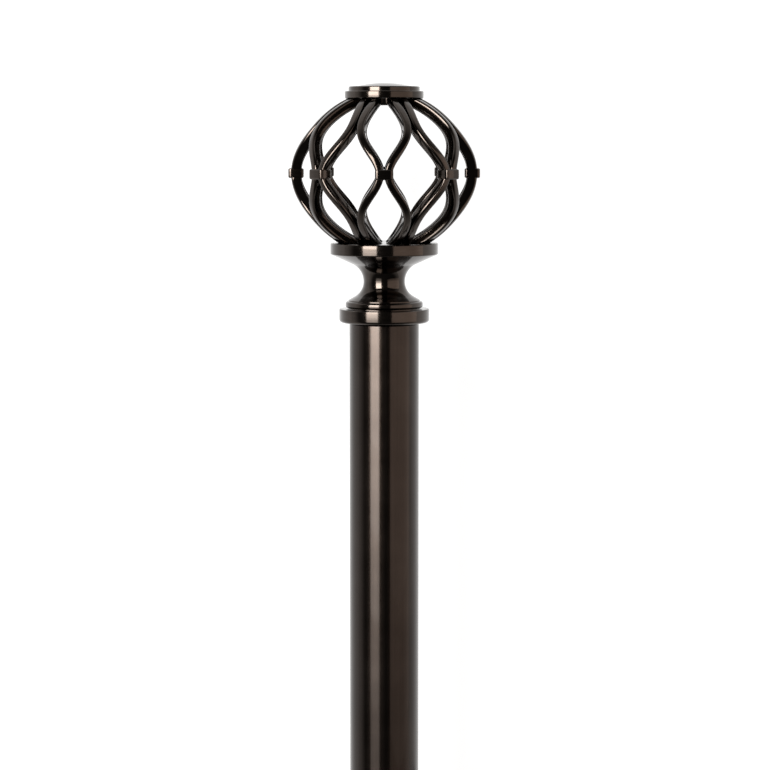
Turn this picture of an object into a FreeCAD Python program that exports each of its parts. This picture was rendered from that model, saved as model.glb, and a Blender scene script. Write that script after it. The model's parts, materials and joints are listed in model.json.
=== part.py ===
"""Telescoping curtain rod with two cage finials and two adjustable wall brackets.

Millimetres.  X runs along the rod, the wall is the plane y = 0, the set stands out towards -Y and +Z is up.
The origin is the middle of the four wall screw holes.
"""
import FreeCAD, Part
import math
import os
from FreeCAD import Rotation, Vector

doc = FreeCAD.newDocument("CurtainRod")
sheet = doc.addObject("Spreadsheet::Sheet", "Dims")

SIZES = [
    ("RodDiameter", 25.4, "outside of the larger tube"),
    ("TubeWall", 0.9, "wall of the larger tube"),
    ("OuterLength", 711.0, "length of the larger tube"),
    ("InnerDiameter", 22.2, "outside of the sliding tube"),
    ("InnerWall", 0.8, "wall of the sliding tube"),
    ("InnerLength", 680.0, "length of the sliding tube"),
    ("Extension", 100.0, "sliding tube showing at rest"),
    ("EndRound", 0.8, "rounding of the tube ends"),
    ("LipLength", 3.0, "rolled lip that guides the sliding tube"),
    ("Clearance", 0.05, "radial gap of every running fit"),
    ("GuideLength", 22.0, "plastic guide on the buried end"),
    ("InsertLength", 16.0, "threaded insert in each rod end"),
    ("StudDiameter", 6.0, "finial stud"),
    ("StudDepth", 13.0, "stud inside the tube end"),
    ("CollarRadius", 16.4, "collar against the tube end"),
    ("CollarHeight", 5.0, "collar thickness"),
    ("BeadRadius", 14.1, "bead on the collar"),
    ("BeadTop", 7.8, "top of the bead from the tube end"),
    ("NeckRadius", 7.55, "narrowest of the cove neck"),
    ("FlangeRadius", 19.6, "disc under the cage"),
    ("FlangeBottom", 24.9, "lower edge of the disc"),
    ("FlangeTop", 29.0, "top of the disc"),
    ("CageRadius", 31.9, "rib centre line at the equator"),
    ("CageRise", 28.1, "half height of the rib curve"),
    ("Equator", 54.2, "height of the clips"),
    ("RibWidth", 2.85, "rib across"),
    ("RibDepth", 3.7, "rib in and out"),
    ("LeafAngle", 18.7, "rib swing either side of its pair, degrees"),
    ("LeafHeight", 17.5, "height of the widest swing over the equator"),
    ("FootAngle", 13.3, "rib swing at the feet, degrees"),
    ("ClipWidth", 6.5, "clip across"),
    ("ClipDepth", 5.6, "clip in and out"),
    ("ClipHeight", 3.6, "clip height"),
    ("HubRadius", 9.75, "hub under the cap"),
    ("HubBottom", 78.5, "lower face of the hub"),
    ("CapBottom", 81.0, "lower face of the cap"),
    ("CapRadius", 14.3, "lower cap disc"),
    ("CapStep", 83.7, "step between the two cap discs"),
    ("CapTopRadius", 12.9, "upper cap disc"),
    ("CapBrim", 85.4, "top of the upper cap disc"),
    ("DomeRadius", 10.0, "dome on the cap"),
    ("CapTop", 86.7, "top of the dome"),
    ("BracketSpacing", 311.0, "between the two brackets"),
    ("Projection", 90.0, "wall to rod axis"),
    ("PlateWidth", 26.0, "wall plate width"),
    ("PlateHeight", 62.0, "wall plate height"),
    ("PlateThickness", 4.0, "wall plate thickness"),
    ("HoleSpacing", 42.0, "between the screw holes of one plate"),
    ("HoleRadius", 2.4, "wall screw hole"),
    ("SinkRadius", 4.6, "countersink of the wall screw hole"),
    ("BarrelRadius", 9.0, "socket on the wall plate"),
    ("BarrelLength", 34.0, "socket length in front of the plate"),
    ("ArmRadius", 6.0, "sliding arm"),
    ("ArmFlat", 4.5, "height of the flat under the cradle"),
    ("ArmBack", 16.0, "back end of the arm from the wall"),
    ("ArmNose", 10.0, "arm past the rod axis"),
    ("FootRadius", 5.0, "foot of the cradle"),
    ("FootHeight", 4.0, "height of the cradle foot"),
    ("CradleGap", 0.3, "rod to cradle"),
    ("CradleWall", 3.0, "thickness of the cradle"),
    ("CradleWidth", 14.0, "cradle along the rod"),
    ("LipRise", 7.0, "cradle lips over the rod axis"),
    ("ScrewRadius", 2.0, "thumbscrew shank"),
    ("HeadRadius", 5.5, "thumbscrew head"),
    ("HeadLength", 7.0, "thumbscrew head length"),
    ("TipGap", 0.1, "thumbscrew tip to what it clamps"),
]
for row, (name, value, meaning) in enumerate(SIZES, 1):
    sheet.set("A%d" % row, meaning)
    sheet.set("B%d" % row, str(value))
    sheet.setAlias("B%d" % row, name)
doc.recompute()

UP = Rotation()
ALONG_X = Rotation(Vector(0, 1, 0), 90)
AGAINST_X = Rotation(Vector(0, 1, 0), -90)
TO_FRONT = Rotation(Vector(1, 0, 0), 90)
DOWN = Rotation(Vector(1, 0, 0), 180)
RIBS_PAIRS = 8
handed_in = []


def size(name):
    return float(sheet.get(name))


def place(item, at, turn=UP):
    """Turns an object and binds its position to three expressions."""
    item.Placement = FreeCAD.Placement(Vector(), turn)
    for axis, text in zip("xyz", at):
        item.setExpression("Placement.Base." + axis, text)
    return item


def finish(item, label):
    item.Label = label
    handed_in.append(item)
    return item


def cylinder(name, radius, height, at, turn=UP):
    item = doc.addObject("Part::Cylinder", name)
    item.setExpression("Radius", radius)
    item.setExpression("Height", height)
    return place(item, at, turn)


def block(name, length, width, height, at):
    item = doc.addObject("Part::Box", name)
    item.setExpression("Length", length)
    item.setExpression("Width", width)
    item.setExpression("Height", height)
    return place(item, at)


def joined(name, items):
    item = doc.addObject("Part::MultiFuse", name)
    item.Shapes = items
    item.Refine = True
    return item


def cut(name, base, tools):
    tool = tools[0]
    if len(tools) > 1:
        tool = joined(name + "_tools", tools)
    item = doc.addObject("Part::Cut", name)
    item.Base = base
    item.Tool = tool
    return item


def lathe(corners):
    """Turns an outline about Z.  Each corner is (radius, height) or (radius, height, rounding)."""
    ends = []
    for number, corner in enumerate(corners):
        here = Vector(corner[0], 0, corner[1])
        before = Vector(corners[number - 1][0], 0, corners[number - 1][1]) - here
        after_corner = corners[(number + 1) % len(corners)]
        after = Vector(after_corner[0], 0, after_corner[1]) - here
        if len(corner) == 2:
            ends.append((here, None, here))
            continue
        half = before.getAngle(after) / 2
        before.normalize()
        after.normalize()
        reach = corner[2] / math.tan(half)
        middle = (before + after).normalize() * (corner[2] / math.sin(half) - corner[2])
        ends.append((here + before * reach, here + middle, here + after * reach))
    edges = []
    for number, (start, middle, end) in enumerate(ends):
        if middle is not None:
            edges.append(Part.Arc(start, middle, end).toShape())
        following = ends[(number + 1) % len(ends)][0]
        if (following - end).Length > 1e-6:
            edges.append(Part.makeLine(end, following))
    return Part.Face(Part.Wire(edges)).revolve(Vector(), Vector(0, 0, 1), 360)


def shaped(name, shape, at, turn):
    item = doc.addObject("Part::Feature", name)
    item.Shape = shape
    return finish(place(item, at, turn), name)


# ---------------------------------------------------------------- the rod

ROD_Y = "-Dims.Projection"
ROD_Z = "Dims.ArmFlat + Dims.FootHeight + Dims.CradleWall + Dims.CradleGap + Dims.RodDiameter / 2"
LEFT_END = ("-Dims.OuterLength / 2", ROD_Y, ROD_Z)
RIGHT_END = ("Dims.OuterLength / 2 + Dims.Extension", ROD_Y, ROD_Z)


def outer_tube():
    """The larger tube: rounded at the finial, rolled inwards at the mouth."""
    outside = size("RodDiameter") / 2
    inside = outside - size("TubeWall")
    mouth = size("InnerDiameter") / 2 + size("Clearance")
    length = size("OuterLength")
    lip = length - size("LipLength")
    turn = size("EndRound")
    shape = lathe([(inside, 0), (outside, 0, turn), (outside, length, turn), (mouth, length), (mouth, lip),
                   (inside, lip)])
    shaped("outer_tube", shape, LEFT_END, ALONG_X)


def inner_tube():
    """The sliding tube, rounded where its finial sits."""
    outside = size("InnerDiameter") / 2
    inside = outside - size("InnerWall")
    length = size("InnerLength")
    shape = lathe([(inside, 0), (outside, 0, 0.6), (outside, length), (inside, length)])
    shaped("inner_tube", shape, RIGHT_END, AGAINST_X)


def guide_plug():
    """Plastic plug in the buried end of the sliding tube; its rim runs on the larger tube's bore."""
    rim = size("RodDiameter") / 2 - size("TubeWall") - size("Clearance")
    plug = size("InnerDiameter") / 2 - size("InnerWall")
    deep = size("GuideLength")
    shape = lathe([(plug - 2.5, -6), (rim, -6, 0.6), (rim, 0), (plug, 0), (plug, deep - 6, 1.0),
                   (plug - 2.5, deep - 6)])
    at = ("Dims.OuterLength / 2 + Dims.Extension - Dims.InnerLength", ROD_Y, ROD_Z)
    shaped("inner_guide_plug", shape, at, ALONG_X)


def end_insert(side, bore, at, turn):
    """Metal insert pressed into a tube end, drilled and tapped for the finial stud."""
    hole = size("StudDiameter") / 2 + size("Clearance")
    deep = size("InsertLength")
    shape = lathe([(hole, 0), (bore, 0), (bore, -deep, 0.8), (hole, -deep)])
    shaped(side + "_end_insert", shape, at, turn)


# ---------------------------------------------------------------- one finial, along +Z from the tube end


def collar():
    hole = size("StudDiameter") / 2 + size("Clearance")
    wide = size("CollarRadius")
    high = size("CollarHeight")
    return lathe([(hole, 0), (wide, 0, 1.2), (wide, high, 0.4), (hole, high)])


def stud():
    radius = size("StudDiameter") / 2
    deep = size("StudDepth")
    top = size("FlangeTop") - 3
    return lathe([(0, -deep), (radius, -deep, 0.8), (radius, top), (0, top)])


def neck():
    """Bead, double cove and the disc that carries the ribs, turned in one piece."""
    hole = size("StudDiameter") / 2 + size("Clearance")
    base = size("CollarHeight")
    bead = size("BeadRadius")
    bead_top = size("BeadTop")
    waist = size("NeckRadius")
    disc = size("FlangeRadius")
    disc_low = size("FlangeBottom")
    disc_top = size("FlangeTop")
    shoulder = bead - 0.5
    low_bend = bead_top + (shoulder - waist) * math.tan(math.radians(30))
    high_bend = disc_low - (disc - waist) * math.tan(math.radians(24.5))
    span = high_bend - low_bend
    return lathe([(hole, base), (bead - 0.9, base), (bead - 0.9, base + 0.3), (bead, base + 0.3, 0.9),
                  (bead, bead_top, 1.0), (shoulder - 0.6, bead_top), (shoulder - 0.6, bead_top + 0.35),
                  (waist, low_bend, span * 0.76), (waist, high_bend, span * 0.86), (disc, disc_low, 0.5),
                  (disc, disc_top, 0.6), (0, disc_top), (0, disc_top - 3), (hole, disc_top - 3)])


def top_hub():
    pin = 3.0
    low = size("HubBottom")
    return lathe([(pin, low), (size("HubRadius"), low, 0.7), (size("HubRadius"), size("CapBottom")),
                  (pin, size("CapBottom"))])


def cap():
    """Two stepped discs and a low dome, with a pin that goes down into the hub."""
    pin = 3.0
    low = size("CapBottom")
    wide = size("CapRadius")
    step = size("CapStep")
    rim = size("CapTopRadius")
    top = size("CapTop")
    brim = size("CapBrim")
    dome_rim = size("DomeRadius")
    body = lathe([(0, size("HubBottom")), (pin, size("HubBottom")), (pin, low), (wide, low, 0.5),
                  (wide, step, 0.4), (rim, step), (rim, brim, 0.5), (0, brim)])
    radius = (dome_rim ** 2 + (top - brim) ** 2) / (2 * (top - brim))
    ball = Part.makeSphere(radius, Vector(0, 0, top - radius))
    dome = ball.common(Part.makeCylinder(dome_rim, top - brim + 0.2, Vector(0, 0, brim - 0.2)))
    return body.fuse(dome).removeSplitter()


def rib_path(angle):
    """Point of a rib's centre line: height over the equator, radius and swing from its pair."""
    rise = size("CageRise") * abs(math.sin(angle)) ** 1.073
    radius = size("CageRadius") * math.cos(angle) ** 1.085
    together = math.asin((size("RibWidth") / 2 + 0.03) / size("CageRadius"))
    widest = math.radians(size("LeafAngle"))
    foot = math.radians(size("FootAngle"))
    up = min(rise / size("LeafHeight"), 1.0)
    swing = together + (widest - together) * math.sin(math.pi / 2 * up) ** 1.88
    beyond = max(rise - size("LeafHeight"), 0) / (0.91 * size("CageRise") - size("LeafHeight"))
    swing = swing - (widest - foot) * min(beyond, 1.1) ** 2
    return math.copysign(rise, angle), radius, swing


def rib_point(angle, side):
    height, radius, swing = rib_path(angle)
    return Vector(radius * math.cos(swing), side * radius * math.sin(swing), size("Equator") + height)


def rib_section(angle, side):
    """Rounded rectangle across the rib at one angle up its curve."""
    small = 0.01
    here = rib_point(angle, side)
    along = (rib_point(angle + small, side) - rib_point(angle - small, side)).normalize()
    height, radius, swing = rib_path(angle)
    low, low_radius, _ = rib_path(angle - small)
    high, high_radius, _ = rib_path(angle + small)
    out_r = high - low
    out_z = low_radius - high_radius
    out = Vector(out_r * math.cos(swing), side * out_r * math.sin(swing), out_z)
    out = (out - along * out.dot(along)).normalize()
    across = along.cross(out)
    wide = size("RibWidth") / 2
    deep = size("RibDepth") / 2
    curve = 0.8
    edges = []
    corners = [(1, 1), (-1, 1), (-1, -1), (1, -1)]
    points = []
    for number, (a, b) in enumerate(corners):
        centre = here + across * (a * (wide - curve)) + out * (b * (deep - curve))
        first, second = (across * a, out * b) if number % 2 == 0 else (out * b, across * a)
        diagonal = (first + second).normalize()
        points.append((centre + first * curve, centre + diagonal * curve, centre + second * curve))
    for number, (start, middle, end) in enumerate(points):
        edges.append(Part.Arc(start, middle, end).toShape())
        edges.append(Part.makeLine(end, points[(number + 1) % 4][0]))
    return Part.Wire(edges)


def rib(side):
    """One wavy rib, trimmed flat on the disc and fitted round the hub."""
    low = math.radians(-73)
    high = math.radians(77)
    steps = 18
    sections = [rib_section(low + (high - low) * step / steps, side) for step in range(steps + 1)]
    whole = Part.makeLoft(sections, True, False)
    room = Part.makeCylinder(60, size("CapBottom") - size("FlangeTop"), Vector(0, 0, size("FlangeTop")))
    hub = Part.makeCylinder(size("HubRadius"), 60, Vector(0, 0, size("HubBottom") - 5))
    return whole.common(room).cut(hub)


def clip(ribs):
    """Small rounded band that holds two ribs together at the equator."""
    deep = size("ClipDepth")
    wide = size("ClipWidth")
    high = size("ClipHeight")
    corner = Vector(size("CageRadius") - deep / 2, -wide / 2, size("Equator") - high / 2)
    band = Part.makeBox(deep, wide, high, corner)
    band = band.makeFillet(0.7, band.Edges)
    for item in ribs:
        band = band.cut(item)
    return band


def turned_copies(shape, count):
    copies = []
    for number in range(count):
        copy = shape.copy()
        copy.rotate(Vector(), Vector(0, 0, 1), 360.0 * number / count)
        copies.append(copy)
    return copies


def finial(side, at, turn, pieces):
    for name in ("stud", "collar", "neck", "top_hub", "cap", "clips"):
        shaped(side + "_" + name, pieces[name], at, turn)
    for number in range(RIBS_PAIRS):
        spin = Rotation(Vector(0, 0, 1), 360.0 * number / RIBS_PAIRS)
        name = "%s_rib_pair_%d" % (side, number + 1)
        shaped(name, pieces["ribs"], at, turn.multiply(spin))


# ---------------------------------------------------------------- one bracket


def wall_plate(side, x):
    """Oblong plate with a socket for the arm, two countersunk holes and a tapped hole under the socket."""
    name = side + "_plate_"
    half = "Dims.PlateWidth / 2"
    straight = "Dims.PlateHeight - Dims.PlateWidth"
    body = [block(name + "slab", "Dims.PlateWidth", "Dims.PlateThickness", straight,
                  (x + " - " + half, "-Dims.PlateThickness", "-(%s) / 2" % straight))]
    for end, sign in (("top", ""), ("base", "-")):
        body.append(cylinder(name + end, half, "Dims.PlateThickness", (x, "0", "%s(%s) / 2" % (sign, straight)),
                             TO_FRONT))
    reach = "Dims.PlateThickness + Dims.BarrelLength"
    body.append(cylinder(name + "barrel", "Dims.BarrelRadius", reach, (x, "0", "0"), TO_FRONT))
    tools = [cylinder(name + "socket", "Dims.ArmRadius + Dims.Clearance", "Dims.BarrelLength + 1",
                      (x, "-Dims.PlateThickness", "0"), TO_FRONT)]
    tools.append(cylinder(name + "tapping", "Dims.ScrewRadius + Dims.Clearance", "Dims.BarrelRadius + 1",
                          (x, "-(%s) + 8" % reach, "0"), DOWN))
    for end, sign in (("upper", ""), ("lower", "-")):
        height = sign + "Dims.HoleSpacing / 2"
        tools.append(cylinder(name + end + "_hole", "Dims.HoleRadius", "Dims.PlateThickness + 2",
                              (x, "1", height), TO_FRONT))
        sink = doc.addObject("Part::Cone", name + end + "_sink")
        sink.setExpression("Radius1", "Dims.HoleRadius")
        sink.setExpression("Radius2", "Dims.SinkRadius")
        sink.setExpression("Height", "Dims.SinkRadius - Dims.HoleRadius")
        face = "-Dims.PlateThickness + Dims.SinkRadius - Dims.HoleRadius"
        tools.append(place(sink, (x, face, height), TO_FRONT))
    finish(cut(side + "_wall_plate", joined(name + "body", body), tools), side + "_wall_plate")


def arm(side, x):
    """Round bar with a ball nose, a flat under the cradle and a hole for the cradle screw."""
    name = side + "_arm_"
    nose = "-Dims.Projection - Dims.ArmNose"
    bar = cylinder(name + "bar", "Dims.ArmRadius", "Dims.Projection + Dims.ArmNose - Dims.ArmBack",
                   (x, "-Dims.ArmBack", "0"), TO_FRONT)
    ball = doc.addObject("Part::Sphere", name + "ball")
    ball.setExpression("Radius", "Dims.ArmRadius")
    place(ball, (x, nose, "0"))
    flat = block(name + "flat", "2 * Dims.ArmRadius + 2", "2 * Dims.FootRadius + 2", "Dims.ArmRadius",
                 (x + " - Dims.ArmRadius - 1", "-Dims.Projection - Dims.FootRadius - 1", "Dims.ArmFlat"))
    hole = cylinder(name + "hole", "Dims.ScrewRadius", "3 * Dims.ArmRadius",
                    (x, "-Dims.Projection", "-1.5 * Dims.ArmRadius"))
    sunk = cylinder(name + "sunk", "Dims.ScrewRadius + 2", "Dims.ArmRadius",
                    (x, "-Dims.Projection", "-Dims.ArmRadius - 2.5"))
    finish(cut(side + "_arm", joined(name + "solid", [bar, ball]), [flat, hole, sunk]), side + "_arm")


def cradle(side, x):
    """U-shaped holder on a round foot; its front lip is tapped for the rod screw."""
    name = side + "_cradle_"
    inside = "(Dims.RodDiameter / 2 + Dims.CradleGap)"
    outside = "(Dims.RodDiameter / 2 + Dims.CradleGap + Dims.CradleWall)"
    start = x + " - Dims.CradleWidth / 2"
    round_part = cylinder(name + "round", outside, "Dims.CradleWidth", (start, ROD_Y, ROD_Z), ALONG_X)
    sides = block(name + "sides", "Dims.CradleWidth", "2 * " + outside, "Dims.LipRise",
                  (start, "%s - %s" % (ROD_Y, outside), ROD_Z))
    foot = cylinder(name + "foot", "Dims.FootRadius", "Dims.FootHeight + Dims.CradleWall / 2",
                    (x, ROD_Y, "Dims.ArmFlat"))
    bed = cylinder(name + "bed", inside, "Dims.CradleWidth + 2", (start + " - 1", ROD_Y, ROD_Z), ALONG_X)
    mouth = block(name + "mouth", "Dims.CradleWidth + 2", "2 * " + inside, "Dims.LipRise + 1",
                  (start + " - 1", "%s - %s" % (ROD_Y, inside), ROD_Z))
    above = block(name + "above", "Dims.CradleWidth + 2", "2 * %s + 2" % outside, outside,
                  (start + " - 1", "%s - %s - 1" % (ROD_Y, outside), ROD_Z + " + Dims.LipRise"))
    screw_hole = cylinder(name + "tapping", "Dims.ScrewRadius + Dims.Clearance", "Dims.RodDiameter",
                          (x, ROD_Y, ROD_Z), TO_FRONT)
    foot_hole = cylinder(name + "foot_hole", "Dims.ScrewRadius", "Dims.FootHeight + 1",
                         (x, ROD_Y, "Dims.ArmFlat - 1"))
    body = joined(name + "solid", [round_part, sides, foot])
    finish(cut(side + "_cradle", body, [bed, mouth, above, screw_hole, foot_hole]), side + "_cradle")


def cradle_screw(side, x):
    """Cap screw up through the arm into the cradle foot."""
    radius = size("ScrewRadius")
    head = size("ArmFlat") + 2 + size("ArmRadius") - size("ArmFlat") - 4.5
    top = size("ArmFlat") + size("FootHeight") - 0.5
    seat = -2.5
    shape = lathe([(0, seat - head), (radius + 1.8, seat - head, 0.4), (radius + 1.8, seat), (radius, seat),
                   (radius, top, 0.5), (0, top)])
    shaped(side + "_cradle_screw", shape, (x, ROD_Y, "0"), UP)


def thumbscrew(label, shank, at, turn):
    """Round-headed thumbscrew with its tip at the origin and its head outwards."""
    radius = size("ScrewRadius")
    head = size("HeadRadius")
    long = shank + size("HeadLength")
    shape = lathe([(0, 0), (radius, 0, 0.4), (radius, shank - 1.2), (head - 1.5, shank - 1.2),
                   (head - 1.5, shank), (head, shank, 0.5), (head, long, 0.9), (0, long)])
    shaped(label, shape, at, turn)


def bracket(side, x):
    wall_plate(side, x)
    arm(side, x)
    cradle(side, x)
    cradle_screw(side, x)
    shank = size("BarrelRadius") - size("ArmRadius") + 1.6
    at = (x, "-(Dims.PlateThickness + Dims.BarrelLength) + 8", "-Dims.ArmRadius - Dims.TipGap")
    thumbscrew(side + "_arm_screw", shank, at, DOWN)
    shank = size("CradleWall") + size("CradleGap") + 1.6
    at = (x, "-Dims.Projection - Dims.RodDiameter / 2 - Dims.TipGap", ROD_Z)
    thumbscrew(side + "_rod_screw", shank, at, TO_FRONT)


outer_tube()
inner_tube()
guide_plug()
end_insert("left", size("RodDiameter") / 2 - size("TubeWall"), LEFT_END, AGAINST_X)
end_insert("right", size("InnerDiameter") / 2 - size("InnerWall"), RIGHT_END, ALONG_X)

ribs = [rib(-1), rib(1)]
band = clip(ribs)
PIECES = {
    "stud": stud(), "collar": collar(), "neck": neck(), "top_hub": top_hub(), "cap": cap(),
    "ribs": Part.makeCompound(ribs), "clips": Part.makeCompound(turned_copies(band, RIBS_PAIRS)),
}
finial("left", LEFT_END, AGAINST_X, PIECES)
finial("right", RIGHT_END, ALONG_X, PIECES)
bracket("left", "-Dims.BracketSpacing / 2")
bracket("right", "Dims.BracketSpacing / 2")

doc.recompute()
os.makedirs("parts", exist_ok=True)
for item in doc.Objects:
    if "Invalid" in item.State or "Error" in item.State:
        raise RuntimeError("%s did not build" % item.Label)
for item in handed_in:
    if item.Shape.isNull() or not item.Shape.isValid():
        raise RuntimeError("%s has no sound shape" % item.Label)
for item in handed_in:
    item.Shape.exportStep("parts/%s.step" % item.Label)
    box = item.Shape.BoundBox
    print("%-18s solids %2d  volume %10.1f  x %8.2f %8.2f  y %8.2f %8.2f  z %8.2f %8.2f"
          % (item.Label, len(item.Shape.Solids), item.Shape.Volume, box.XMin, box.XMax, box.YMin, box.YMax,
             box.ZMin, box.ZMax))
print(len(handed_in), "sub-parts")
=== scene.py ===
# %% [markdown]
# # Curtain rod with cage finials and wall brackets
# A telescoping rod, a cage finial screwed into each end and two wall brackets. X runs along the rod,
# the wall is behind at y = 0 and +Z is up. Blender works in metres. Small turned pieces read more
# easily in millimetres, so the outlines below are in millimetres, and MM scales them when a mesh is
# made.
#
# The pieces are placed from the CAD frame: the boxes of the two tubes give the rod's axis and its two
# ends.
# %% Load the frame and measure the rod
import json
import math
import bpy
from mathutils import Matrix, Vector


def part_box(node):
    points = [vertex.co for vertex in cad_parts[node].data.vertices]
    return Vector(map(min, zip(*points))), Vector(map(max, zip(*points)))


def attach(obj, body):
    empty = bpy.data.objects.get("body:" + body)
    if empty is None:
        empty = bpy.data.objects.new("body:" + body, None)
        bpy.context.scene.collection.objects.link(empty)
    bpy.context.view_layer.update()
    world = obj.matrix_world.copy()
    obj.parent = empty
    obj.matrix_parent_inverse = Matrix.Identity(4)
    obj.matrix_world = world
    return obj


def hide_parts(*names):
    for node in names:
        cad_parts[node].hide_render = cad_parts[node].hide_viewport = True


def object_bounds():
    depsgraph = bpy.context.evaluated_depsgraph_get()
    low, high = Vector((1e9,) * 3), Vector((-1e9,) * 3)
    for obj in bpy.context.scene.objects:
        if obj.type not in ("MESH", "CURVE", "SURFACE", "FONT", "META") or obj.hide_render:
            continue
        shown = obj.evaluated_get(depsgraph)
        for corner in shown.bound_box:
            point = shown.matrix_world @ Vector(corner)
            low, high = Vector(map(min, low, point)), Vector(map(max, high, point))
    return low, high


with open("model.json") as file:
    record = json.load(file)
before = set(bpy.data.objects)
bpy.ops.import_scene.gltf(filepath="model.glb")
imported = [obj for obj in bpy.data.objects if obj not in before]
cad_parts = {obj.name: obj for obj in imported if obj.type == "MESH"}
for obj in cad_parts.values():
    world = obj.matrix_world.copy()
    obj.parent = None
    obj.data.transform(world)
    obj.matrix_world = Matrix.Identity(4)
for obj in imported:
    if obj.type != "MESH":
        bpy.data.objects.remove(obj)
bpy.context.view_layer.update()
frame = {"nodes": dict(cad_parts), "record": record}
MM = 0.001
tube_low, tube_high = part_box("outer_tube")
slide_low, slide_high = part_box("inner_tube")
AXIS = Vector((0, (tube_low.y + tube_high.y) / 2, (tube_low.z + tube_high.z) / 2))
ENDS = {"left": tube_low.x, "right": slide_high.x}
print("rod axis", tuple(AXIS), "ends", ENDS)

# %% [markdown]
# ## Shader helpers
# A finish is a tree of small nodes. Wiring Math nodes one by one hides what they work out, so `Value`
# wraps a socket and lets shader maths read as arithmetic: `cloud * 0.65 + lines * 0.35` adds its
# three Math nodes itself.
# %% A socket that can be added and multiplied


class Value:
    """A socket that adds and multiplies with others or with numbers."""

    def __init__(self, tree, socket):
        self.tree = tree
        self.socket = socket

    def maths(self, operation, other):
        node = self.tree.nodes.new("ShaderNodeMath")
        node.operation = operation
        self.tree.links.new(self.socket, node.inputs[0])
        if isinstance(other, Value):
            self.tree.links.new(other.socket, node.inputs[1])
        else:
            node.inputs[1].default_value = other
        return Value(self.tree, node.outputs[0])

    def __add__(self, other):
        return self.maths("ADD", other)

    def __mul__(self, other):
        return self.maths("MULTIPLY", other)

    __radd__ = __add__
    __rmul__ = __mul__

    def between(self, low, high):
        """0 below low, 1 above high, smooth between."""
        node = self.tree.nodes.new("ShaderNodeMapRange")
        node.interpolation_type = "SMOOTHSTEP"
        self.tree.links.new(self.socket, node.inputs["Value"])
        node.inputs["From Min"].default_value = low
        node.inputs["From Max"].default_value = high
        return Value(self.tree, node.outputs["Result"])


# %% [markdown]
# `Shader.make` is the one way to any other node: it takes the node's type, its settings, and what
# goes into its sockets, which may be a number, a colour or a `Value` to link. Every pattern reads
# Object coordinates, so that it stays fixed to its piece when the rod is lifted or drawn out.
# %% One method that makes any node


class Shader:
    """Makes nodes in one material or world."""

    def __init__(self, tree):
        self.tree = tree

    def make(self, kind, inputs=None, **settings):
        node = self.tree.nodes.new(kind)
        for name, value in settings.items():
            setattr(node, name, value)
        for name, value in (inputs or {}).items():
            if isinstance(value, Value):
                self.tree.links.new(value.socket, node.inputs[name])
            else:
                node.inputs[name].default_value = value
        return node

    def value(self, node, output=0):
        return Value(self.tree, node.outputs[output])

    def place(self):
        return self.value(self.make("ShaderNodeTexCoord"), "Object")

    def noise(self, where, scale, detail=3.0, roughness=0.55):
        inputs = {"Vector": where, "Scale": scale, "Detail": detail, "Roughness": roughness}
        return self.value(self.make("ShaderNodeTexNoise", inputs), "Fac")

    def stretched(self, where, scale):
        return self.value(self.make("ShaderNodeMapping", {"Vector": where, "Scale": scale}))

    def blend(self, factor, first, second):
        """Mixes two colours: sockets 6 and 7 of a Mix node, and output 2."""
        first, second = (item if isinstance(item, Value) else (*item, 1.0) for item in (first, second))
        return self.value(self.make("ShaderNodeMix", {0: factor, 6: first, 7: second}, data_type="RGBA"), 2)

    def surface(self, inputs):
        """Closes the material with one Principled surface."""
        bsdf = self.make("ShaderNodeBsdfPrincipled", inputs)
        output = self.make("ShaderNodeOutputMaterial")
        self.tree.links.new(bsdf.outputs[0], output.inputs["Surface"])


# %% An empty material


def new_material(name):
    material = bpy.data.materials.new(name)
    material.use_nodes = True
    material.node_tree.nodes.clear()
    return material, Shader(material.node_tree)


# %% [markdown]
# ## Dark bronze lacquer
# The real finish is a nearly black brown lacquer over metal. It could be one flat dark colour with a
# coat, but lacquer is never even: the tone clouds a little, faint copper freckles show through,
# polishing leaves fine streaks, and the film dries with a slight orange peel. Each of those is one
# noise here, and together they vary the tone, the roughness and the bump. The surface is wholly
# metallic, so its colour is the share of the light that it mirrors: a few parts in a hundred.
# %% The lacquer, for tubes, finials, brackets and screws
COPPER = (0.09, 0.052, 0.033)
FREE_OF_FRECKLES, FULL_FRECKLE = 0.68, 0.8


def bronze(name, gloss, streak, dark, light, freckle=0.35, peel=1.0, soft_edge=0.0):
    """Streaks run along the axes where `streak` is small; soft_edge, in metres, rounds edges by shading."""
    material, shader = new_material(name)
    where = shader.place()
    cloud = shader.noise(where, 55.0, 4.0)
    fine = shader.noise(where, 900.0, 2.0)
    lines = shader.noise(shader.stretched(where, streak), 1.0, 3.0, 0.6)
    speck = shader.noise(where, 2600.0, 1.0).between(FREE_OF_FRECKLES, FULL_FRECKLE)
    tone = (cloud * 0.65 + lines * 0.35).between(0.35, 0.68)
    colour = shader.blend(speck * freckle, shader.blend(tone, dark, light), COPPER)
    bump = {"Height": fine * (0.6 * peel) + lines * 0.4, "Distance": 0.000012, "Strength": 0.55}
    if soft_edge:
        bump["Normal"] = shader.value(shader.make("ShaderNodeBevel", {"Radius": soft_edge}))
    rough = cloud * 0.08 + lines * 0.07 + fine * 0.03 + gloss
    shader.surface({"Base Color": colour, "Metallic": 1.0, "Roughness": rough, "Coat Weight": 0.2,
                    "Coat Roughness": 0.04, "Normal": shader.value(shader.make("ShaderNodeBump", bump))})
    return material


# %% [markdown]
# ## Plain metal and nylon
# The studs are bare steel, the rod's threaded inserts are dull zinc and the guide plug is pale nylon.
# They are nearly hidden inside the set, so one grain that varies tone and roughness is enough.
# %% Steel, zinc and nylon


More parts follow.
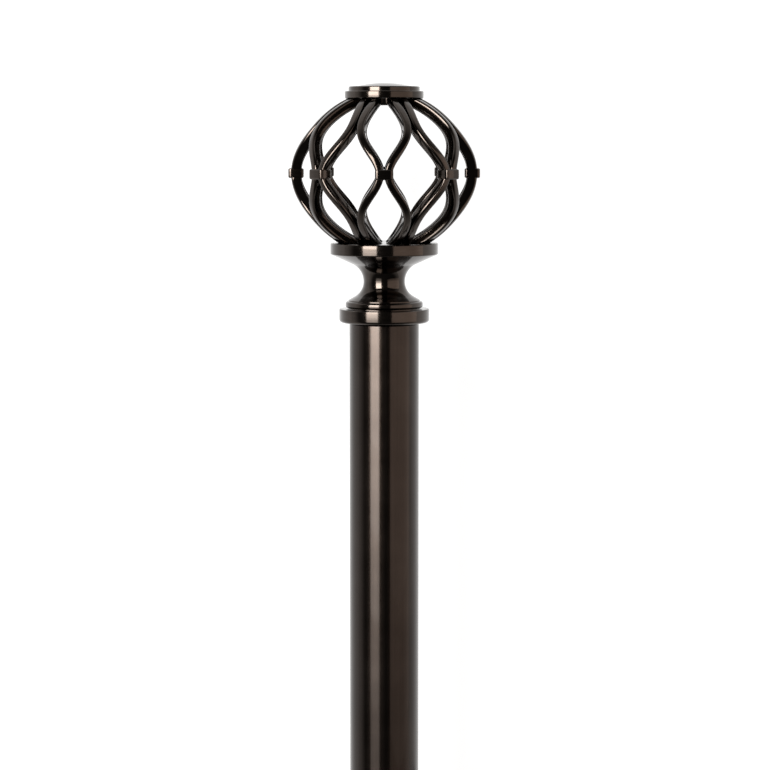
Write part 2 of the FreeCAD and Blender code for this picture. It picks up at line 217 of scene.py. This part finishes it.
def plain_metal(name, dark, light, rough, scale):
    material, shader = new_material(name)
    grain = shader.noise(shader.place(), scale, 4.0)
    bump = shader.make("ShaderNodeBump", {"Height": grain, "Distance": 0.00003, "Strength": 0.5})
    shader.surface({"Base Color": shader.blend(grain.between(0.3, 0.7), dark, light), "Metallic": 1.0,
                    "Roughness": grain * 0.2 + rough, "Normal": shader.value(bump)})
    return material


def nylon(name):
    material, shader = new_material(name)
    cloud = shader.noise(shader.place(), 120.0, 3.0)
    colour = shader.blend(cloud, (0.55, 0.53, 0.47), (0.7, 0.69, 0.63))
    shader.surface({"Base Color": colour, "Roughness": cloud * 0.2 + 0.4})
    return material


# %% [markdown]
# ## A finish for every slot
# The tube was polished along its length, the finials were polished as they turned in a lathe, and the
# brackets are cast, with no direction at all. A streak is a noise stretched by three scales: where a
# scale is small, the streak is long. The brackets keep their CAD meshes, whose edges are sharp, so
# their lacquer rounds the edges by shading.
# %% The materials
ALONG_ROD = (8.0, 1100.0, 1100.0)
AROUND_ROD = (1500.0, 130.0, 130.0)
NO_DIRECTION = (260.0, 260.0, 260.0)
LOOKS = {
    "tube_bronze": bronze("tube_bronze", 0.11, ALONG_ROD,
                          (0.0205, 0.0152, 0.0125), (0.0285, 0.0218, 0.0183)),
    "finial_bronze": bronze("finial_bronze", 0.03, AROUND_ROD,
                            (0.0295, 0.023, 0.0188), (0.046, 0.037, 0.0315)),
    "bracket_bronze": bronze("bracket_bronze", 0.14, NO_DIRECTION,
                             (0.021, 0.0165, 0.014), (0.034, 0.027, 0.023), peel=1.6, soft_edge=0.0006),
    "screw_bronze": bronze("screw_bronze", 0.12, NO_DIRECTION,
                           (0.022, 0.017, 0.014), (0.038, 0.03, 0.025), freckle=0.6),
    "steel": plain_metal("steel", (0.42, 0.42, 0.43), (0.6, 0.6, 0.61), 0.25, 700.0),
    "insert_zinc": plain_metal("insert_zinc", (0.3, 0.3, 0.31), (0.48, 0.48, 0.5), 0.4, 420.0),
    "guide_plastic": nylon("guide_plastic"),
}

# %% Put them on the CAD pieces
SLOT_OF = {entry["node"]: entry["material_slot"] for entry in frame["record"]["subparts"]}
for node, item in frame["nodes"].items():
    item.data.materials.clear()
    item.data.materials.append(LOOKS[SLOT_OF[node]])
print(len(LOOKS), "materials on", len(SLOT_OF), "nodes")

# %% [markdown]
# ## How a turned piece is made
# Tubes, collars, necks, caps and thumbscrews are all round, so each is an outline turned about an
# axis. A Screw modifier on a flat curve would do it too; here the rings are worked out in Python,
# because the same function can then press a knurl into a thumbscrew. A corner of an outline is
# (radius, height), or (radius, height, rounding) where the real edge is rounded, and `outline_points`
# puts a fine arc on it.
# %% Outlines with rounded corners
TURN_LEFT = Matrix(((0, 0, -1), (0, 1, 0), (1, 0, 0))).to_4x4()
TURN_RIGHT = Matrix(((0, 0, 1), (0, 1, 0), (-1, 0, 0))).to_4x4()
OUTWARDS = {"left": TURN_LEFT, "right": TURN_RIGHT}


def outline_points(corners, fewest=7, per_mm=3):
    """Replaces each (radius, height, rounding) corner by points on its arc."""
    points = []
    for number, corner in enumerate(corners):
        here = Vector(corner[:2])
        if len(corner) == 2:
            points.append(here)
            continue
        before = (Vector(corners[number - 1][:2]) - here).normalized()
        after = (Vector(corners[(number + 1) % len(corners)][:2]) - here).normalized()
        half = before.angle(after) / 2
        centre = here + (before + after).normalized() * (corner[2] / math.sin(half))
        x, y = here + before * (corner[2] / math.tan(half)) - centre
        turn = Vector((x, y)).angle_signed(here + after * (corner[2] / math.tan(half)) - centre)
        steps = max(fewest, int(abs(turn) * corner[2] * per_mm))
        for step in range(steps + 1):
            angle = -turn * step / steps
            points.append(centre + Vector((x * math.cos(angle) - y * math.sin(angle),
                                           x * math.sin(angle) + y * math.cos(angle))))
    return points


# %% A mesh as an object, and its place in the set


def mesh_object(name, vertices, faces, sharp=32):
    """Smooth mesh whose edges over `sharp` degrees stay crisp."""
    mesh = bpy.data.meshes.new(name)
    mesh.from_pydata([tuple(v) for v in vertices], [], faces)
    mesh.validate()
    mesh.shade_smooth()
    mesh.set_sharp_from_angle(angle=math.radians(sharp))
    item = bpy.data.objects.new(name, mesh)
    bpy.context.scene.collection.objects.link(item)
    return item


def dress(item, slot, body, nodes):
    """Gives a piece its finish, parents it to the empty of the body it rides on and hides the CAD nodes it
    stands in for.
    """
    item.data.materials.clear()
    item.data.materials.append(LOOKS[slot])
    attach(item, body)
    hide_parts(*nodes)


# %% Turn an outline


def turned(name, corners, place, slot, body, nodes, around=144, ripple=None):
    """Turns a closed outline (millimetres) about Z, then puts it in place."""
    vertices, rings = [], []
    for point in outline_points(corners):
        if point.x < 1e-6:
            rings.append([len(vertices)] * around)
            vertices.append(place @ (Vector((0, 0, point.y)) * MM))
            continue
        rings.append(list(range(len(vertices), len(vertices) + around)))
        for step in range(around):
            angle = 2 * math.pi * step / around
            radius = point.x - (ripple(point, angle) if ripple else 0.0)
            spot = Vector((radius * math.cos(angle), radius * math.sin(angle), point.y))
            vertices.append(place @ (spot * MM))
    faces = []
    for number, ring in enumerate(rings):
        after = rings[(number + 1) % len(rings)]
        for step in range(around):
            follow = (step + 1) % around
            face = list(dict.fromkeys((ring[step], ring[follow], after[follow], after[step])))
            if len(face) > 2:
                faces.append(face)
    item = mesh_object(name, vertices, faces)
    dress(item, slot, body, nodes)
    return item


# %% [markdown]
# ## The two tubes
# The smaller tube slides in the larger one, whose open end is rolled in to a thin lip that holds it
# steady. Both could keep their CAD meshes, but a long bright reflection runs down the rod and shows
# every flat of a coarse circle, so they are turned again with 192 steps. Their lengths and radii come
# from the frame.
# %% Turn the tubes
TUBE_STEPS = 192
TUBE_WALL, SLIDE_WALL = 0.9, 0.8
LIP, LIP_GAP = 3.0, 0.05
tube_length = (tube_high.x - tube_low.x) / MM
tube_radius = (tube_high.y - tube_low.y) / MM / 2
slide_length = (slide_high.x - slide_low.x) / MM
slide_radius = (slide_high.y - slide_low.y) / MM / 2
turned("larger_tube", [(tube_radius - TUBE_WALL, 0), (tube_radius, 0, 0.8), (tube_radius, tube_length, 0.8),
                       (slide_radius + LIP_GAP, tube_length), (slide_radius + LIP_GAP, tube_length - LIP),
                       (tube_radius - TUBE_WALL, tube_length - LIP)],
       Matrix.Translation((tube_low.x, AXIS.y, AXIS.z)) @ TURN_RIGHT,
       "tube_bronze", "outer_tube", ["outer_tube"], TUBE_STEPS)
turned("sliding_tube", [(slide_radius - SLIDE_WALL, 0), (slide_radius, 0, 0.6),
                        (slide_radius, slide_length), (slide_radius - SLIDE_WALL, slide_length)],
       Matrix.Translation((slide_high.x, AXIS.y, AXIS.z)) @ TURN_LEFT,
       "tube_bronze", "inner_tube", ["inner_tube"], TUBE_STEPS)
print("tubes", round(tube_length, 1), round(slide_length, 1), "mm")

# %% [markdown]
# ## Finials: the turned pieces
# From the rod outwards a finial has a collar, a neck and, above its cage, a hub and a stepped cap
# with a low dome. The neck starts with a bead, draws in to a waist in one long hollow and flares to
# the disc that carries the cage. The hollow is two straight flanks and the waist between them, with
# each bend rounded by most of the room it has. Heights are measured from the end of the rod.
# %% Collar and neck
PIN = 3.0
COLLAR_RADIUS, COLLAR_TOP = 16.4, 5.0
SEAT_RADIUS, BEAD_LOW, BEAD_RADIUS, BEAD_TOP = 13.2, 5.3, 14.1, 7.8
FILLET_RADIUS, FILLET_TOP = 13.0, 8.15
WAIST_RADIUS = 7.55
DISC_RADIUS, DISC_LOW, DISC_TOP, DISC_DISH = 19.6, 24.9, 29.0, 26.0
LOW_BEND = BEAD_TOP + (BEAD_RADIUS - 0.5 - WAIST_RADIUS) * math.tan(math.radians(30))
HIGH_BEND = DISC_LOW - (DISC_RADIUS - WAIST_RADIUS) * math.tan(math.radians(24.5))
WAIST_LENGTH = HIGH_BEND - LOW_BEND
COLLAR = [(PIN, 0), (COLLAR_RADIUS, 0, 1.2), (COLLAR_RADIUS, COLLAR_TOP, 0.4), (PIN, COLLAR_TOP)]
NECK = [(PIN, COLLAR_TOP), (SEAT_RADIUS, COLLAR_TOP), (SEAT_RADIUS, BEAD_LOW), (BEAD_RADIUS, BEAD_LOW, 0.9),
        (BEAD_RADIUS, BEAD_TOP, 1.0), (FILLET_RADIUS, BEAD_TOP), (FILLET_RADIUS, FILLET_TOP),
        (WAIST_RADIUS, LOW_BEND, WAIST_LENGTH * 0.76), (WAIST_RADIUS, HIGH_BEND, WAIST_LENGTH * 0.86),
        (DISC_RADIUS, DISC_LOW, 0.5), (DISC_RADIUS, DISC_TOP, 0.6), (0, DISC_TOP), (0, DISC_DISH),
        (PIN, DISC_DISH)]
print("neck waist between", round(LOW_BEND, 2), "and", round(HIGH_BEND, 2), "mm")

# %% Hub and cap
HUB_LOW, HUB_TOP, HUB_RADIUS = 78.5, 81.0, 9.75
CAP_RADIUS, CAP_STEP, CAP_TOP_RADIUS, CAP_BRIM = 14.3, 83.7, 12.9, 85.4
DOME_RADIUS, DOME_RISE, DOME_STEPS = 10.0, 1.3, 12
CAP_TOP = CAP_BRIM + DOME_RISE
DOME_CURVE = (DOME_RADIUS ** 2 + DOME_RISE ** 2) / (2 * DOME_RISE)
HUB = [(PIN, HUB_LOW), (HUB_RADIUS, HUB_LOW, 0.7), (HUB_RADIUS, HUB_TOP), (PIN, HUB_TOP)]
CAP = [(0, HUB_LOW), (PIN, HUB_LOW), (PIN, HUB_TOP), (CAP_RADIUS, HUB_TOP, 0.5),
       (CAP_RADIUS, CAP_STEP, 0.4), (CAP_TOP_RADIUS, CAP_STEP), (CAP_TOP_RADIUS, CAP_BRIM, 0.5)]
for step in range(DOME_STEPS):
    dome_radius = DOME_RADIUS * (1 - step / DOME_STEPS)
    CAP.append((dome_radius, CAP_TOP - DOME_CURVE + math.sqrt(DOME_CURVE ** 2 - dome_radius ** 2)))
CAP.append((0, CAP_TOP))
print("cap top at", CAP_TOP, "mm")

# %% Turn both finials
FINIAL_AT = {side: Matrix.Translation((x, AXIS.y, AXIS.z)) @ OUTWARDS[side] for side, x in ENDS.items()}
for side in ENDS:
    for part, corners in (("collar", COLLAR), ("neck", NECK), ("top_hub", HUB), ("cap", CAP)):
        turned("%s_turned_%s" % (side, part), corners, FINIAL_AT[side],
               "finial_bronze", side + "_finial", ["%s_%s" % (side, part)])
print("turned finial pieces made")

# %% [markdown]
# ## Finials: the line of a rib
# The cage is sixteen thin ribs in eight pairs. The two ribs of a pair lie side by side at the
# equator, swing apart like the outline of a leaf, and come together again at the disc and the hub. A
# Bezier curve drawn by hand could follow that, but a rule keeps all sixteen alike: the rib's height
# and radius run round a slightly squashed circle, and its swing about the finial's axis grows to LEAF
# at LEAF_HEIGHT and falls back to about FOOT at its ends.
# %% Height, radius and swing of a rib
EQUATOR, RISE, REACH = 54.2, 28.1, 31.9
RISE_POWER, REACH_POWER, LEAF_POWER = 1.073, 1.085, 1.88
RIB_WIDE, RIB_DEEP, RIB_CURVE = 2.85, 3.7, 0.85
LEAF, FOOT, LEAF_HEIGHT = math.radians(18.7), math.radians(13.3), 17.5
FOOT_HEIGHT, BEYOND_FOOT = 0.91 * RISE, 1.1
TOGETHER = math.asin((RIB_WIDE / 2 + 0.03) / REACH)


def rib_line(angle):
    """Height, radius and swing of a rib's centre line."""
    height = RISE * abs(math.sin(angle)) ** RISE_POWER
    radius = REACH * math.cos(angle) ** REACH_POWER
    opening = math.sin(math.pi / 2 * min(height / LEAF_HEIGHT, 1)) ** LEAF_POWER
    beyond = max(height - LEAF_HEIGHT, 0) / (FOOT_HEIGHT - LEAF_HEIGHT)
    swing = TOGETHER + (LEAF - TOGETHER) * opening - (LEAF - FOOT) * min(beyond, BEYOND_FOOT) ** 2
    return math.copysign(height, angle), radius, swing


def rib_point(angle, hand):
    height, radius, swing = rib_line(angle)
    return Vector((radius * math.cos(swing), hand * radius * math.sin(swing), EQUATOR + height))


# %% [markdown]
# ## Finials: the body of a rib
# A rib is a flat bar with rounded edges. A curve with a bevel object would twist as it swings, so the
# section is set along the line by hand: at each step it is turned to stand square to the rib, with
# its deep side facing out from the cage. The ends are cut level with the disc below and the hub
# above.
# %% The section of a rib and the way it faces
NUDGE = 0.01


def rib_section(steps=5):
    """Rounded rectangle across the rib as (across, out) pairs."""
    pairs = []
    for quarter in range(4):
        across = (1, -1, -1, 1)[quarter] * (RIB_WIDE / 2 - RIB_CURVE)
        out = (1, 1, -1, -1)[quarter] * (RIB_DEEP / 2 - RIB_CURVE)
        for step in range(steps + 1):
            turn = math.pi / 2 * (quarter + step / steps)
            pairs.append((across + RIB_CURVE * math.cos(turn), out + RIB_CURVE * math.sin(turn)))
    return pairs


def rib_facing(angle, hand):
    """Directions across the rib and out of the cage at one step of its line."""
    along = (rib_point(angle + NUDGE, hand) - rib_point(angle - NUDGE, hand)).normalized()
    low, low_radius, _ = rib_line(angle - NUDGE)
    high, high_radius, _ = rib_line(angle + NUDGE)
    swing = rib_line(angle)[2]
    climb = high - low
    out = Vector((climb * math.cos(swing), hand * climb * math.sin(swing), low_radius - high_radius))
    out = (out - along * out.dot(along)).normalized()
    return along.cross(out), out


# %% Build one rib
RIB_LOW_END, RIB_HIGH_END, RIB_STEPS = math.radians(-70.6), math.radians(72.6), 96


def rib_mesh(hand, vertices, faces):
    """Adds one rib; hand is -1 or 1, for the two ribs of a pair."""
    section = rib_section()
    many = len(section)
    for step in range(RIB_STEPS + 1):
        angle = RIB_LOW_END + (RIB_HIGH_END - RIB_LOW_END) * step / RIB_STEPS
        here = rib_point(angle, hand)
        across, out = rib_facing(angle, hand)
        base = len(vertices)
        for a, b in section:
            point = here + across * a + out * b
            point.z = min(max(point.z, DISC_TOP - 0.05), HUB_TOP)
            vertices.append(point)
        if step == 0:
            faces.append(tuple(range(base, base + many)))
            continue
        for number in range(many):
            follow = (number + 1) % many
            faces.append((base + number, base + follow, base - many + follow, base - many + number))
    faces.append(tuple(reversed(range(base, base + many))))


# %% [markdown]
# ## Finials: the clips
# A small block with soft, pillowed faces clasps each pair of ribs at the equator. A cube with a Bevel
# modifier would have flat faces and small round edges. A superellipse, which is a circle drawn with a
# high power, gives faces that swell gently, and its layers shrink a little towards the top and the
# foot.
# %% Build one clip
CLIP_WIDE, CLIP_DEEP, CLIP_HIGH = 6.5, 5.6, 3.6
CLIP_LAYERS, CLIP_STEPS = 14, 40
CLIP_END_SHARE = 0.84


def superellipse(turn, power=2 / 7):
    c, s = math.cos(turn), math.sin(turn)
    return math.copysign(abs(c) ** power, c), math.copysign(abs(s) ** power, s)


def clip_mesh():
    vertices, faces = [], []
    for layer in range(CLIP_LAYERS + 1):
        level = -1 + 2 * layer / CLIP_LAYERS
        share = CLIP_END_SHARE + (1 - CLIP_END_SHARE) * (1 - abs(level) ** 5) ** (1 / 5)
        for step in range(CLIP_STEPS):
            out, across = superellipse(2 * math.pi * step / CLIP_STEPS)
            vertices.append(Vector((REACH + out * CLIP_DEEP / 2 * share, across * CLIP_WIDE / 2 * share,
                                    EQUATOR + level * CLIP_HIGH / 2)))
            if layer:
                follow = (step + 1) % CLIP_STEPS
                low, high = (layer - 1) * CLIP_STEPS, layer * CLIP_STEPS
                faces.append((low + step, low + follow, high + follow, high + step))
    faces.append(tuple(reversed(range(CLIP_STEPS))))
    faces.append(tuple(range(CLIP_LAYERS * CLIP_STEPS, (CLIP_LAYERS + 1) * CLIP_STEPS)))
    return vertices, faces


# %% [markdown]
# ## Finials: eight of each, with Geometry Nodes
# Eight pairs and eight clips stand evenly round the finial. A loop could copy the meshes, but this is
# what Geometry Nodes are for: the tree makes Count points, all on the axis, sets one copy of the
# piece on each and turns the copy by its share of a full circle. Realize Instances makes the copies
# real, because an export drops instances.
# %% The tree that sets pieces in a ring


def ring_tree():
    """Copies of one object turned evenly about an axis along X."""
    tree = bpy.data.node_groups.new("ring_of_pieces", "GeometryNodeTree")
    sockets = {}
    for name, kind in (("Geometry", "NodeSocketGeometry"), ("Piece", "NodeSocketObject"),
                       ("Count", "NodeSocketInt"), ("Centre", "NodeSocketVector"),
                       ("Material", "NodeSocketMaterial")):
        sockets[name] = tree.interface.new_socket(name, in_out="INPUT", socket_type=kind).identifier
    tree.interface.new_socket("Geometry", in_out="OUTPUT", socket_type="NodeSocketGeometry")
    new, link = tree.nodes.new, tree.links.new
    given, made = new("NodeGroupInput"), new("NodeGroupOutput")
    points, source = new("GeometryNodePoints"), new("GeometryNodeObjectInfo")
    share, angle = new("ShaderNodeMath"), new("ShaderNodeMath")
    turn, rotation = new("ShaderNodeCombineXYZ"), new("FunctionNodeEulerToRotation")
    copies, whole = new("GeometryNodeInstanceOnPoints"), new("GeometryNodeRealizeInstances")
    finish = new("GeometryNodeSetMaterial")
    share.operation, angle.operation = "DIVIDE", "MULTIPLY"
    share.inputs[0].default_value = 2 * math.pi
    link(given.outputs["Count"], points.inputs["Count"])
    link(given.outputs["Centre"], points.inputs["Position"])
    link(given.outputs["Piece"], source.inputs["Object"])
    link(given.outputs["Count"], share.inputs[1])
    link(new("GeometryNodeInputIndex").outputs[0], angle.inputs[0])
    link(share.outputs[0], angle.inputs[1])
    link(angle.outputs[0], turn.inputs["X"])
    link(turn.outputs[0], rotation.inputs[0])
    link(points.outputs[0], copies.inputs["Points"])
    link(source.outputs["Geometry"], copies.inputs["Instance"])
    link(rotation.outputs[0], copies.inputs["Rotation"])
    link(copies.outputs[0], whole.inputs[0])
    link(whole.outputs[0], finish.inputs["Geometry"])
    link(given.outputs["Material"], finish.inputs["Material"])
    link(finish.outputs[0], made.inputs[0])
    return tree, sockets


TREE, SOCKETS = ring_tree()
print("ring tree with", len(TREE.nodes), "nodes")

# %% Run the tree on one piece
COUNT = 8


def ring(name, piece):
    """Sets COUNT copies of a piece round the rod's axis and keeps them as a plain mesh."""
    item = bpy.data.objects.new(name, bpy.data.meshes.new(name))
    bpy.context.scene.collection.objects.link(item)
    modifier = item.modifiers.new("ring", "NODES")
    modifier.node_group = TREE
    modifier[SOCKETS["Piece"]] = piece
    modifier[SOCKETS["Count"]] = COUNT
    modifier[SOCKETS["Centre"]] = (0.0, AXIS.y, AXIS.z)
    modifier[SOCKETS["Material"]] = LOOKS["finial_bronze"]
    bpy.context.view_layer.update()
    seen = item.evaluated_get(bpy.context.evaluated_depsgraph_get())
    mesh = bpy.data.meshes.new_from_object(seen)
    item.modifiers.clear()
    item.data = mesh
    bpy.data.objects.remove(piece)
    return item


# %% Make both cages
CAGE_SHARP = 50
for side, x in ENDS.items():
    place = Matrix.Translation((x, 0, 0)) @ OUTWARDS[side]
    vertices, faces = [], []
    for hand in (-1, 1):
        rib_mesh(hand, vertices, faces)
    pair = mesh_object("rib_pair", [place @ (v * MM) for v in vertices], faces, CAGE_SHARP)
    vertices, faces = clip_mesh()
    clip = mesh_object("clip", [place @ (v * MM) for v in vertices], faces, CAGE_SHARP)
    ribs, clips = ring(side + "_cage", pair), ring(side + "_cage_clips", clip)
    dress(ribs, "finial_bronze", side + "_finial", ["%s_rib_pair_%d" % (side, n + 1) for n in range(COUNT)])
    dress(clips, "finial_bronze", side + "_finial", [side + "_clips"])
    print(side, "cage", len(ribs.data.polygons), "faces, clips", len(clips.data.polygons))

# %% [markdown]
# ## Thumbscrews
# Each bracket has two: one clamps the arm in its socket from below, one holds the rod in its cradle
# from the front. The head has a knurled edge, which is pressed in here by a cosine as the outline is
# turned, and a shallow dish. The thread is a row of small grooves. A true helix would look the same
# at this size and cost far more faces.
# %% A knurl for the head
HEAD_RADIUS, HEAD_HIGH, HEAD_ROUND = 5.5, 7.0, 0.9
KNURL_TEETH, KNURL_DEPTH = 40, 0.22


def knurl(low, high):
    """Grooves down the head between two heights."""
    def ripple(point, angle):
        if point.x < HEAD_RADIUS - HEAD_ROUND or not low < point.y < high:
            return 0.0
        return KNURL_DEPTH * (0.5 + 0.5 * math.cos(KNURL_TEETH * angle))
    return ripple


# %% The outline of a thumbscrew
THREAD_RADIUS, ROOT_RADIUS, TIP_RADIUS = 2.0, 1.72, 1.6
THREAD_START, PITCH = 0.8, 0.7
NECK_RADIUS, NECK_HIGH = 4.0, 1.2
DISH_RADIUS, DISH_FLOOR, DISH_DEEP = 3.6, 3.2, 0.4


def thumbscrew_outline(shank):
    """From the tip at height 0 up the thread, the neck and the head."""
    top, thread_end = shank + HEAD_HIGH, shank - NECK_HIGH
    corners = [(0, 0), (TIP_RADIUS, 0)]
    for turn in range(int((thread_end - THREAD_START) / PITCH)):
        crest = THREAD_START + turn * PITCH
        corners += [(THREAD_RADIUS, crest), (ROOT_RADIUS, crest + PITCH / 2)]
    corners += [(THREAD_RADIUS, thread_end), (NECK_RADIUS, thread_end), (NECK_RADIUS, shank)]
    corners += [(HEAD_RADIUS, shank, 0.5)]
    corners += [(HEAD_RADIUS, shank + level) for level in (1.5, 3.5, 5.5)]
    return corners + [(HEAD_RADIUS, top, HEAD_ROUND), (DISH_RADIUS, top), (DISH_FLOOR, top - DISH_DEEP),
                      (0, top - DISH_DEEP)]


# %% Turn the four thumbscrews
THUMBSCREW_STEPS = 240
ARM_SHANK, ROD_SHANK = 4.6, 4.9
HEAD_DOWN, HEAD_FORWARD = Matrix.Rotation(math.pi, 4, "X"), Matrix.Rotation(math.pi / 2, 4, "X")


def thumbscrew(name, node, tip, turn, shank):
    """The tip is where the screw ends, and the turn points its head away from what it clamps."""
    place = Matrix.Translation(tip) @ turn
    outline = thumbscrew_outline(shank)
    grip = knurl(shank + 0.3, shank + HEAD_HIGH - 0.3)
    turned(name, outline, place, "screw_bronze", node, [node], THUMBSCREW_STEPS, grip)


for side in ENDS:
    low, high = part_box(side + "_arm_screw")
    thumbscrew(side + "_arm_thumbscrew", side + "_arm_screw",
               ((low.x + high.x) / 2, (low.y + high.y) / 2, high.z), HEAD_DOWN, ARM_SHANK)
    low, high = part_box(side + "_rod_screw")
    thumbscrew(side + "_rod_thumbscrew", side + "_rod_screw",
               ((low.x + high.x) / 2, high.y, (low.z + high.z) / 2), HEAD_FORWARD, ROD_SHANK)
print("thumbscrews made")

# %% [markdown]
# ## Surroundings
# Polished metal shows its surroundings more than its own colour. The world here is bright up to the
# horizon and darkens above it, which puts pale edges and a dark middle on every round piece seen
# from above. It is brighter on the front side than on the wall side.
# %% The world
WORLD_COLOUR = (1, 0.99, 0.975, 1)
world = bpy.data.worlds.new("studio")
bpy.context.scene.world = world
world.use_nodes = True
world.node_tree.nodes.clear()
sky = Shader(world.node_tree)
direction = sky.value(sky.make("ShaderNodeTexCoord"), "Generated")
split = sky.make("ShaderNodeSeparateXYZ", {"Vector": direction})
height, front = sky.value(split, "Z"), sky.value(split, "Y")
glow = (height.between(0.02, 0.42) * -0.86 + 0.95) * (front * -0.25 + 0.75)
background = sky.make("ShaderNodeBackground", {"Color": WORLD_COLOUR, "Strength": glow})
sky.tree.links.new(background.outputs[0], sky.make("ShaderNodeOutputWorld").inputs["Surface"])
print("world made")

# %% [markdown]
# ## Ground
# The set lies over white paper that runs out to pure white. A white diffuse floor would take shadows
# and change with every lamp, so the paper is dark and glows by itself, nearly to white.
# %% The paper
FLOOR_HALF, FLOOR_GAP = 6.0, 0.0005
material, shader = new_material("pale_floor")
cloud = shader.noise(shader.place(), 3.0, 3.0)
shader.surface({"Base Color": shader.blend(cloud, (0.1, 0.1, 0.1), (0.12, 0.12, 0.12)),
                "Roughness": cloud * 0.1 + 0.75, "Emission Color": (1, 1, 1, 1), "Emission Strength": 0.93,
                "Specular IOR Level": 0.1})
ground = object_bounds()[0].z - FLOOR_GAP
mesh = bpy.data.meshes.new("floor")
corners = [(x * FLOOR_HALF, y * FLOOR_HALF, ground) for x, y in ((-1, -1), (1, -1), (1, 1), (-1, 1))]
mesh.from_pydata(corners, [], [(0, 1, 2, 3)])
mesh.materials.append(material)
floor = bpy.data.objects.new("floor", mesh)
bpy.context.scene.collection.objects.link(floor)
print("floor at", round(ground, 4))

# %% [markdown]
# ## Lamps
# One long softbox to the left makes the bright line down the rod, which is strong on the finial and
# fades along the tube. A single area light can't fade, so a row of short ones stands in for it, each
# dimmer than the last. A wide, dim and warmer row on the right lifts the other side of the rod.
# %% A softbox, and a row of them that fades
LOOK_AT = Vector((ENDS["left"], AXIS.y, AXIS.z))


def softbox(name, angle, distance, width, length, power, colour, shift):
    """Area light over the rod; the angle is measured from straight above, positive towards the front."""
    data = bpy.data.lights.new(name, "AREA")
    data.shape = "RECTANGLE"
    data.size, data.size_y = width, length
    data.energy = power
    data.color = colour
    item = bpy.data.objects.new(name, data)
    turn = math.radians(angle)
    back = Vector((0, -math.sin(turn), math.cos(turn)))
    across = Vector((0, math.cos(turn), math.sin(turn)))
    facing = Matrix((across, Vector((-1, 0, 0)), back)).transposed().to_4x4()
    item.matrix_world = Matrix.Translation(LOOK_AT + back * distance + Vector((shift, 0, 0))) @ facing
    bpy.context.scene.collection.objects.link(item)


def softbox_row(name, angle, distance, width, power, colour, fade):
    """Power is per square metre; fade lists (start, end, share), in metres from the rod's left end."""
    for number, (start, end, share) in enumerate(fade, 1):
        length = end - start
        softbox("%s_%d" % (name, number), angle, distance, width, length,
                power * share * width * length, colour, (start + end) / 2)
    print(name, len(fade), "softboxes")


# %% Light the set
softbox_row("softbox_left", 31, 1.5, 0.8, 54, (1, 0.985, 0.96),
            [(-1.0, -0.04, 1.5), (-0.04, 0.1, 0.74), (0.1, 0.2, 0.56), (0.2, 0.3, 0.33), (0.3, 0.4, 0.17),
             (0.4, 0.5, 0.11), (0.5, 0.75, 0.08)])
softbox_row("panel_right", -55, 1.6, 2.3, 4.2, (1, 0.84, 0.74),
            [(-1.0, 0.3, 1.0), (0.3, 0.5, 0.7), (0.5, 0.75, 0.4)])

# %% [markdown]
# ## Camera
# It looks down on the left finial from nearly a metre up, with the finial towards the top of the
# picture. It leans a few degrees down the rod, so that the middle of the picture falls on the tube
# just below the collar. The long lens keeps the rod's two edges nearly parallel.
# %% Place the camera
LENS, SENSOR, TILT = 113.61, 36, math.radians(6.1)
SPOT = LOOK_AT + Vector((-0.0714, 0.0003, 0.8839))
PICTURE = 770
camera_data = bpy.data.cameras.new("camera")
camera_data.sensor_width = SENSOR
camera_data.lens = LENS
camera_data.clip_start, camera_data.clip_end = 0.05, 50
camera = bpy.data.objects.new("camera", camera_data)
backwards = Vector((-math.sin(TILT), 0, math.cos(TILT)))
upwards = Vector((-math.cos(TILT), 0, -math.sin(TILT)))
facing = Matrix((Vector((0, 1, 0)), upwards, backwards)).transposed().to_4x4()
camera.matrix_world = Matrix.Translation(SPOT) @ facing
bpy.context.scene.collection.objects.link(camera)
bpy.context.scene.camera = camera
bpy.context.scene.render.resolution_x = PICTURE
bpy.context.scene.render.resolution_y = PICTURE
bpy.context.scene.view_settings.view_transform = "Standard"
print("camera at", tuple(round(v, 4) for v in SPOT))
